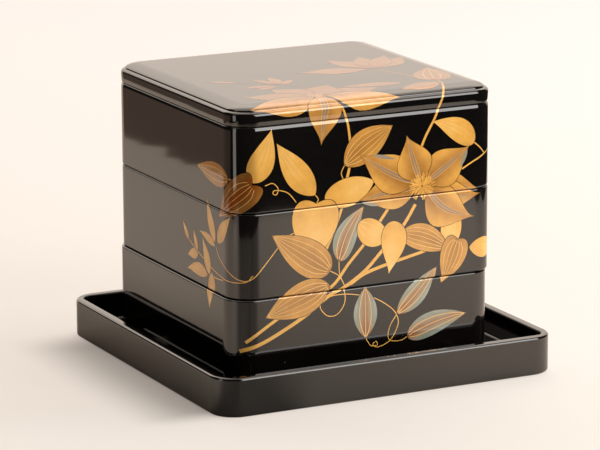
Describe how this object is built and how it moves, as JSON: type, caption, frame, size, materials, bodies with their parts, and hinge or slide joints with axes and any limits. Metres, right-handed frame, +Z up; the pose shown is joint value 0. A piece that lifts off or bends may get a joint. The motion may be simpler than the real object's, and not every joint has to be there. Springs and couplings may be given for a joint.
{
  "type": "lacquer stacking food box",
  "caption": "Square stacking food box in black lacquer with open tiers and a lift-off lid, standing in a low rimmed tray, dressed with a flowering vine in gold.",
  "frame": {"origin": "on the table under the middle of the tray", "axes": "+Z up through the stack, +X along the front of the tray, -Y towards the front"},
  "size_m": [0.2574, 0.2574, 0.2025],
  "materials": {
    "black_lacquer": "polished black lacquer over wood",
    "gold_powder": "burnished gold powder laid in lacquer",
    "silver_powder": "pale silver powder laid in lacquer"
  },
  "bodies": {
    "root": {"tray": "black_lacquer", "bottom_tier": "black_lacquer", "middle_tier": "black_lacquer", "top_tier": "black_lacquer", "lid": "black_lacquer"}
  },
  "joints": []
}
